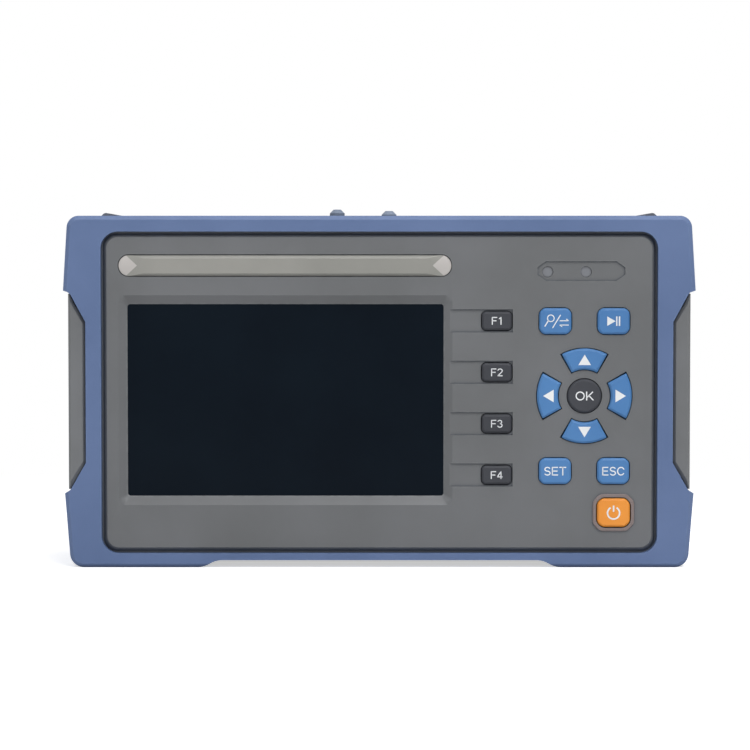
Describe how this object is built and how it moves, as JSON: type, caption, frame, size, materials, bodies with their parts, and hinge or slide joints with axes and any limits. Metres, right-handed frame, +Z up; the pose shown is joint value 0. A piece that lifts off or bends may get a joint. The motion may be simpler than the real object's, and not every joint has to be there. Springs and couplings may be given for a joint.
{
  "type": "optical time domain reflectometer",
  "caption": "Handheld fibre tester in a rubber boot: landscape screen, sprung keys, capped fibre ports, socket flap and folding stand.",
  "frame": {"origin": "middle of the outer box at the level of the feet", "axes": "+Z up, -Y out of the screen, +X to the right of someone who faces the screen"},
  "size_m": [0.22, 0.057, 0.126],
  "materials": {
    "boot_rubber": "matt moulded rubber",
    "case_plastic": "fine-grained moulded plastic",
    "grip_plastic": "fine-grained moulded plastic",
    "lens_glass": "hard-coated clear window over a dark screen",
    "strip_metal": "satin",
    "key_blue": "silicone, satin",
    "key_dark": "silicone, satin",
    "key_orange": "silicone, satin",
    "mat_silicone": "matt",
    "board_laminate": "solder mask",
    "module_metal": "bead-blasted",
    "spring_metal": "bright",
    "screw_steel": "satin",
    "port_metal": "nickel plate",
    "cap_rubber": "soft matt",
    "black_plastic": "moulded",
    "lamp_clear": "clear light pipe",
    "display_metal": "folded sheet",
    "battery_wrap": "shrink wrap",
    "fibre_jacket": "jacketed fibre",
    "seal_rubber": "soft"
  },
  "bodies": {
    "case": {"protective_boot": "boot_rubber", "front_housing": "case_plastic", "rear_housing": "case_plastic", "case_seal": "seal_rubber", "side_grip_left": "grip_plastic", "side_grip_right": "grip_plastic", "lcd_lens": "lens_glass", "lcd_gasket": "seal_rubber", "lcd_panel": "display_metal", "lcd_bracket": "display_metal", "title_strip": "strip_metal", "battery_cover": "case_plastic", "stand_pins": "screw_steel", "keypad_mat": "mat_silicone", "dome_switches": "spring_metal", "key_board": "board_laminate", "light_pipes": "lamp_clear", "indicator_leds": "lamp_clear", "main_board": "board_laminate", "battery_pack": "battery_wrap", "otdr_module": "module_metal", "fibre_coil": "fibre_jacket", "otdr_adapter": "port_metal", "vfl_adapter": "port_metal", "usb_socket": "spring_metal", "micro_usb_socket": "spring_metal", "dc_jack": "black_plastic", "processor_shield": "display_metal", "clock_cell": "spring_metal", "vfl_laser": "module_metal", "speaker": "black_plastic", "case_screws": "screw_steel", "key_board_screws": "screw_steel", "bracket_screws": "screw_steel", "cover_screws": "screw_steel", "board_screws": "screw_steel", "adapter_screws": "screw_steel"},
    "key_f1": {"key_f1": "key_dark"},
    "key_f2": {"key_f2": "key_dark"},
    "key_f3": {"key_f3": "key_dark"},
    "key_f4": {"key_f4": "key_dark"},
    "key_zoom": {"key_zoom": "key_blue"},
    "key_play": {"key_play": "key_blue"},
    "key_set": {"key_set": "key_blue"},
    "key_esc": {"key_esc": "key_blue"},
    "key_up": {"key_up": "key_blue"},
    "key_left": {"key_left": "key_blue"},
    "key_down": {"key_down": "key_blue"},
    "key_right": {"key_right": "key_blue"},
    "key_ok": {"key_ok": "key_dark"},
    "key_power": {"key_power": "key_orange"},
    "otdr_dust_cap": {"otdr_dust_cap": "cap_rubber"},
    "vfl_dust_cap": {"vfl_dust_cap": "cap_rubber"},
    "port_flap": {"port_flap": "boot_rubber"},
    "kick_stand": {"kick_stand": "case_plastic"}
  },
  "joints": [
    {"name": "key_f1_press", "type": "slide", "parent": "case", "child": "key_f1", "axis": [0, 1, 0], "range_m": [0, 0.0009], "stiffness_N_per_m": 1200, "springref_m": -0.0004},
    {"name": "key_f2_press", "type": "slide", "parent": "case", "child": "key_f2", "axis": [0, 1, 0], "range_m": [0, 0.0009], "stiffness_N_per_m": 1200, "springref_m": -0.0004},
    {"name": "key_f3_press", "type": "slide", "parent": "case", "child": "key_f3", "axis": [0, 1, 0], "range_m": [0, 0.0009], "stiffness_N_per_m": 1200, "springref_m": -0.0004},
    {"name": "key_f4_press", "type": "slide", "parent": "case", "child": "key_f4", "axis": [0, 1, 0], "range_m": [0, 0.0009], "stiffness_N_per_m": 1200, "springref_m": -0.0004},
    {"name": "key_zoom_press", "type": "slide", "parent": "case", "child": "key_zoom", "axis": [0, 1, 0], "range_m": [0, 0.0009], "stiffness_N_per_m": 1200, "springref_m": -0.0004},
    {"name": "key_play_press", "type": "slide", "parent": "case", "child": "key_play", "axis": [0, 1, 0], "range_m": [0, 0.0009], "stiffness_N_per_m": 1200, "springref_m": -0.0004},
    {"name": "key_set_press", "type": "slide", "parent": "case", "child": "key_set", "axis": [0, 1, 0], "range_m": [0, 0.0009], "stiffness_N_per_m": 1200, "springref_m": -0.0004},
    {"name": "key_esc_press", "type": "slide", "parent": "case", "child": "key_esc", "axis": [0, 1, 0], "range_m": [0, 0.0009], "stiffness_N_per_m": 1200, "springref_m": -0.0004},
    {"name": "key_up_press", "type": "slide", "parent": "case", "child": "key_up", "axis": [0, 1, 0], "range_m": [0, 0.0009], "stiffness_N_per_m": 1200, "springref_m": -0.0004},
    {"name": "key_left_press", "type": "slide", "parent": "case", "child": "key_left", "axis": [0, 1, 0], "range_m": [0, 0.0009], "stiffness_N_per_m": 1200, "springref_m": -0.0004},
    {"name": "key_down_press", "type": "slide", "parent": "case", "child": "key_down", "axis": [0, 1, 0], "range_m": [0, 0.0009], "stiffness_N_per_m": 1200, "springref_m": -0.0004},
    {"name": "key_right_press", "type": "slide", "parent": "case", "child": "key_right", "axis": [0, 1, 0], "range_m": [0, 0.0009], "stiffness_N_per_m": 1200, "springref_m": -0.0004},
    {"name": "key_ok_press", "type": "slide", "parent": "case", "child": "key_ok", "axis": [0, 1, 0], "range_m": [0, 0.0009], "stiffness_N_per_m": 1200, "springref_m": -0.0004},
    {"name": "key_power_press", "type": "slide", "parent": "case", "child": "key_power", "axis": [0, 1, 0], "range_m": [0, 0.0009], "stiffness_N_per_m": 1200, "springref_m": -0.0004},
    {"name": "otdr_dust_cap_lift", "type": "slide", "parent": "case", "child": "otdr_dust_cap", "axis": [0, 0, 1], "range_m": [0, 0.014]},
    {"name": "vfl_dust_cap_lift", "type": "slide", "parent": "case", "child": "vfl_dust_cap", "axis": [0, 0, 1], "range_m": [0, 0.014]},
    {"name": "port_flap_hinge", "type": "hinge", "parent": "case", "child": "port_flap", "pos_m": [0.0535, 0.0102, 0.1223], "axis": [-1, 0, 0], "range_deg": [0, 110]},
    {"name": "kick_stand_hinge", "type": "hinge", "parent": "case", "child": "kick_stand", "pos_m": [0, 0.0253, 0.08], "axis": [1, 0, 0], "range_deg": [0, 60]}
  ]
}
